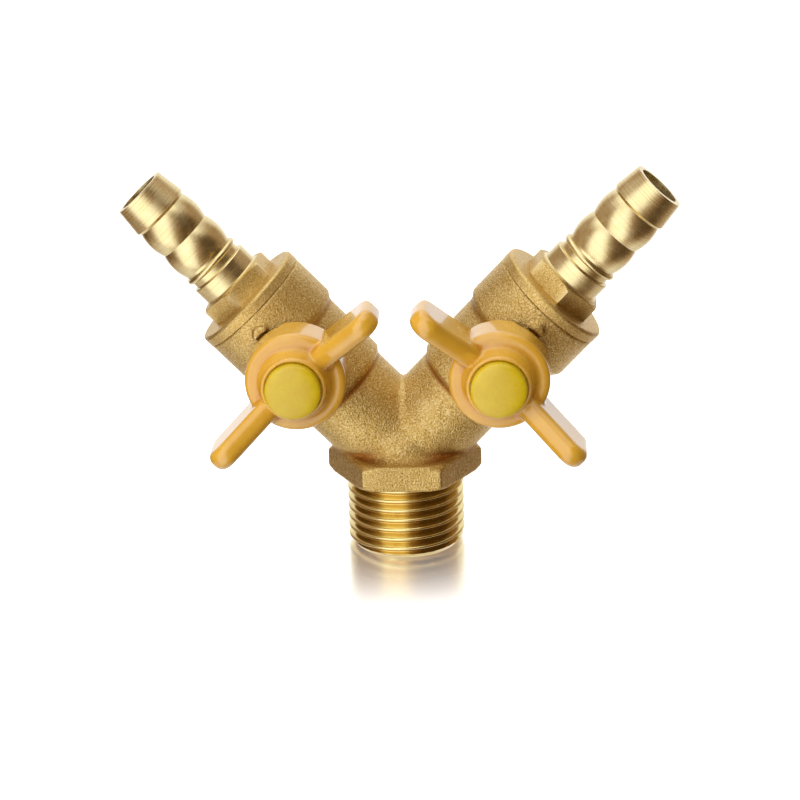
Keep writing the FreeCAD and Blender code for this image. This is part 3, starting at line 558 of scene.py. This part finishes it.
class Skin:
    """Positions and edges of an evenly meshed surface, in millimetres, for smoothing by numbers."""

    def __init__(self, mesh):
        self.mesh = mesh
        self.count = len(mesh.vertices)
        ends = np.empty(len(mesh.edges) * 2, np.int32)
        mesh.edges.foreach_get("vertices", ends)
        self.one, self.other = ends[::2], ends[1::2]
        self.degree = np.bincount(self.one, minlength=self.count)
        self.degree += np.bincount(self.other, minlength=self.count)
        spots = np.empty(self.count * 3, np.float32)
        mesh.vertices.foreach_get("co", spots)
        self.spots = spots.reshape(-1, 3).astype(np.float64) / MM

    def around(self, values):
        """Each vertex's mean of its neighbours' values."""
        total = np.bincount(self.one, values[self.other], self.count)
        total += np.bincount(self.other, values[self.one], self.count)
        return total / self.degree

    def relax(self, share, rounds):
        """Moves the vertices towards the middle of their neighbours, by a share of the way each round."""
        for _ in range(rounds):
            middle = np.stack([self.around(self.spots[:, axis]) for axis in range(3)], axis=1)
            self.spots += (middle - self.spots) * (share * 0.5)[:, None]

    def store(self):
        """Writes the positions back to the mesh."""
        self.mesh.vertices.foreach_set("co", (self.spots * MM).astype(np.float32).ravel())
        self.mesh.update()

    def normals(self):
        """Outward directions at the vertices where they are now."""
        self.store()
        out = np.empty(self.count * 3, np.float32)
        self.mesh.vertices.foreach_get("normal", out)
        return out.reshape(-1, 3)

    def hollowness(self, rounds):
        """How far each vertex lies below its smoothed surroundings: above 0 in a hollow."""
        kept = self.spots.copy()
        normals = self.normals()
        self.relax(np.ones(self.count), rounds)
        depth = ((self.spots - kept) * normals).sum(axis=1)
        self.spots = kept
        self.store()
        return depth

    def mark(self, values):
        """Stores the values as the mesh's crease attribute."""
        layer = self.mesh.attributes.new("crease", "FLOAT", "POINT")
        layer.data.foreach_set("value", np.clip(values, 0, 1).astype(np.float32))


def soften(obj, edge_rounds, blend_rounds, full_depth, edges, blends):
    """Rounds every edge a little, fills the hollows softly, as a die leaves them, and marks them for
    painted shade.

    A hollow of full_depth is smoothed in full. edges and blends give each vertex's share of the two
    kinds of smoothing from its position.
    """
    skin = Skin(obj.data)
    skin.relax(edges(skin.spots), edge_rounds)
    hollow = np.clip(skin.hollowness(FIND_ROUNDS) / full_depth, 0, 1)
    # the smoothing reaches a little past the hollow itself, and then fades out
    for _ in range(SPREAD_ROUNDS):
        hollow = np.maximum(hollow, skin.around(hollow) * SPREAD_KEEP)
    for _ in range(FEATHER_ROUNDS):
        hollow = skin.around(hollow)
    skin.relax(hollow * blends(skin.spots), blend_rounds)
    # painted shade: how deep each vertex lies in a hollow, stored so that the brass and the paint darken
    # there
    shade_share = np.clip(skin.hollowness(SHADE_ROUNDS) / (full_depth * SHADE_DEPTH), 0, 1)
    skin.mark(shade_share * edges(skin.spots))
    skin.store()


def rising(distance, width, least):
    """Share of smoothing that grows to 1 over a width, and is never under the least one."""
    return np.clip(distance / width, least, 1)


def swell(obj, amount):
    """Grows a handle sideways, away from the stem's direction, by the thickness of its paint."""
    skin = Skin(obj.data)
    skin.spots += skin.normals() * (amount, 0, amount)
    skin.store()


def make_forged_body():
    """The forging above the inlet shank, with the die's soft blends where its shapes meet."""
    bm = solid_copy("valve_body")
    # the shank below the hexagon is left to make_inlet_thread()
    cut = bmesh.ops.bisect_plane(
        bm,
        geom=bm.verts[:] + bm.edges[:] + bm.faces[:],
        plane_co=(0, 0, (SHANK_LENGTH + SHANK_CUT) * MM),
        plane_no=(0, 0, 1),
        clear_inner=True,
    )
    rim = [item for item in cut["geom_cut"] if isinstance(item, bmesh.types.BMEdge)]
    bmesh.ops.triangle_fill(bm, edges=rim, use_beauty=True)
    obj = remeshed("forged_body", bm, BODY_VOXEL)
    lug_reach = LUG_STATION * math.sin(BRANCH_ANGLE)
    lug_height = APEX_HEIGHT + LUG_STATION * math.cos(BRANCH_ANGLE)

    def off_lug(spots):
        """Little on the lugs beside the handles, which stay crisp, and 1 elsewhere."""
        reach = np.hypot(np.abs(spots[:, 0]) - lug_reach, spots[:, 2] - lug_height)
        return rising(reach - LUG_REACH, EDGE_FADE, 0.2)

    def near_apex(spots):
        """1 where the branches, the spigot and the hexagon meet, and little out on the branches."""
        reach = np.hypot(spots[:, 0], spots[:, 2] - APEX_HEIGHT)
        return rising(APEX_REACH - reach, 4, 0.12) * off_lug(spots)

    soften(obj, edge_rounds=4, blend_rounds=60, full_depth=0.05, edges=off_lug, blends=near_apex)
    obj.data.materials.append(forged_brass("forged_brass_skin"))
    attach(obj, "splitter_body")
    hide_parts("valve_body")


def ring_mesh(name, rings, closed):
    """An object over rings of points in millimetres.

    Closed, its last ring is joined to the first; otherwise each end ring gets a face.
    """
    bm = bmesh.new()
    loops = [[bm.verts.new(Vector(point) * MM) for point in ring] for ring in rings]
    around = len(loops[0])
    for index in range(len(loops) if closed else len(loops) - 1):
        loop = loops[index]
        above = loops[(index + 1) % len(loops)]
        for i in range(around):
            j = (i + 1) % around
            bm.faces.new((loop[i], loop[j], above[j], above[i]))
    if not closed:
        bm.faces.new(loops[0])
        bm.faces.new(loops[-1])
    bmesh.ops.recalc_face_normals(bm, faces=bm.faces)
    for edge in bm.edges:
        edge.smooth = edge.calc_face_angle(0) < SHARP_ANGLE
    for face in bm.faces:
        face.smooth = True
    mesh = bpy.data.meshes.new(name)
    bm.to_mesh(mesh)
    bm.free()
    obj = bpy.data.objects.new(name, mesh)
    bpy.context.scene.collection.objects.link(obj)
    return obj


def make_inlet_thread():
    """The inlet shank: a right-hand thread with rounded crests and roots, its bore and lead chamfer."""
    angle = np.linspace(0, math.tau, THREAD_COLUMNS, endpoint=False)
    height = np.linspace(0, SHANK_LENGTH + SHANK_OVERLAP, THREAD_ROWS)
    grid_angle, grid_height = np.meshgrid(angle, height)
    phase = (grid_height - THREAD_START) / THREAD_PITCH - grid_angle / math.tau
    # a power above 1 makes the roots a little narrower than the crests
    groove = (0.5 + 0.5 * np.cos(math.tau * phase)) ** ROOT_POWER
    fade = np.clip((RUNOUT_END - grid_height) / (RUNOUT_END - RUNOUT_START), 0, 1)
    radius = THREAD_RADIUS - THREAD_DEPTH * groove * fade
    radius = np.minimum(radius, THREAD_RADIUS - LEAD_CHAMFER + grid_height)
    rings = list(radius)
    levels = list(height)
    inner = [(INLET_BORE, height[-1]), (INLET_BORE, INLET_CHAMFER), (INLET_BORE + INLET_CHAMFER, 0.0)]
    for reach, level in inner:
        rings.append(np.full(THREAD_COLUMNS, reach))
        levels.append(level)
    points = []
    for ring, level in zip(rings, levels):
        points.append([(r * math.cos(a), r * math.sin(a), level) for r, a in zip(ring, angle)])
    obj = ring_mesh("inlet_thread", points, closed=True)
    obj.data.materials.append(thread_brass())
    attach(obj, "splitter_body")
    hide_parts("valve_body")


def make_handle(name, side, paint):
    """The painted casting, its edges and roots drowned in thick paint."""
    stem = Vector((math.sin(BRANCH_ANGLE) * STEM_STATION * side, 0, APEX_HEIGHT))
    stem.z += math.cos(BRANCH_ANGLE) * STEM_STATION

    def off_lip(spots):
        """Little on the thin lip of the collar, and 1 outside it."""
        reach = np.hypot(spots[:, 0] - stem.x, spots[:, 2] - stem.z)
        return rising(reach - LIP_REACH, EDGE_FADE, 0.12)

    obj = remeshed(f"{name}_handle_casting", solid_copy(f"{name}_handle"), HANDLE_VOXEL)
    soften(obj, edge_rounds=5, blend_rounds=40, full_depth=0.04, edges=off_lip, blends=off_lip)
    swell(obj, PAINT_SWELL)
    obj.data.materials.append(paint)
    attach(obj, f"{name}_handle_group")
    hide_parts(f"{name}_handle")


def make_cap(name, plastic):
    """The pressed-in cap, a cushion-shaped dome with its hollow plug behind."""
    low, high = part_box(f"{name}_handle_cap")
    low, high = low / MM, high / MM
    middle = (low + high) / 2
    plug_radius = (high.x - low.x) / 2
    profile = [(CAP_END_RING, -CAP_SKIRT), (CAP_PLUG_BORE, -CAP_SKIRT), (CAP_PLUG_BORE, high.y)]
    profile += [(plug_radius - CAP_PLUG_CHAMFER, high.y), (plug_radius, high.y - CAP_PLUG_CHAMFER)]
    profile += [(plug_radius, -CAP_SKIRT), (CAP_RADIUS, -CAP_SKIRT)]
    # from the rim to almost the middle: a flat top that rolls over into the rim
    for part in np.linspace(1, 0.02, CAP_ROWS):
        share = math.sin(part * math.pi / 2)
        sunk = 1 - (1 - share**CAP_TOP_POWER) ** CAP_RIM_POWER
        profile.append((CAP_RADIUS * share, low.y + CAP_DOME_DEPTH * sunk))
    turn = np.linspace(0, math.tau, CAP_COLUMNS, endpoint=False)
    rings = []
    for reach, y in profile:
        rings.append([(middle.x + reach * math.cos(a), y, middle.z + reach * math.sin(a)) for a in turn])
    obj = ring_mesh(f"{name}_cap_dome", rings, closed=False)
    obj.data.materials.append(plastic)
    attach(obj, f"{name}_handle_group")
    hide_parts(f"{name}_handle_cap")


def dress(node, material):
    """Gives a CAD node its finish."""
    data = frame["nodes"][node].data
    data.materials.clear()
    data.materials.append(material)


def main():
    """Builds the studio, the pieces made here, and the CAD nodes' finishes."""
    make_camera()
    bpy.context.scene.view_settings.view_transform = "Standard"
    make_world()
    for light in LIGHTS:
        make_light(*light)
    make_floor()
    make_backdrop()
    make_forged_body()
    make_inlet_thread()
    paint = enamel()
    yellow = cap_plastic()
    seat = plain_finish("seat_white", (0.85, 0.85, 0.83, 1.0), rough=0.4, metallic=0.0)
    chrome = plain_finish("ball_chrome", (0.8, 0.8, 0.82, 1.0), rough=0.12, metallic=1.0)
    rubber = plain_finish("ring_black", (0.02, 0.02, 0.02, 1.0), rough=0.5, metallic=0.0)
    stem = plain_finish("stem_brass", (0.72, 0.55, 0.25, 1.0), rough=0.25, metallic=1.0)
    steel = plain_finish("hardware_steel", (0.6, 0.6, 0.6, 1.0), rough=0.25, metallic=1.0)
    hidden = {
        "ball": chrome,
        "stem": stem,
        "inner_seat": seat,
        "outer_seat": seat,
        "thrust_washer": seat,
        "inner_o_ring": rubber,
        "outer_o_ring": rubber,
        "spring_washer": steel,
        "handle_screw": steel,
    }
    for name, side in SIDES:
        make_handle(name, side, paint)
        dress(f"{name}_hose_tail", tail_brass(name, side))
        make_cap(name, yellow)
        for piece, material in hidden.items():
            dress(f"{name}_{piece}", material)


main()
bpy.context.view_layer.update()
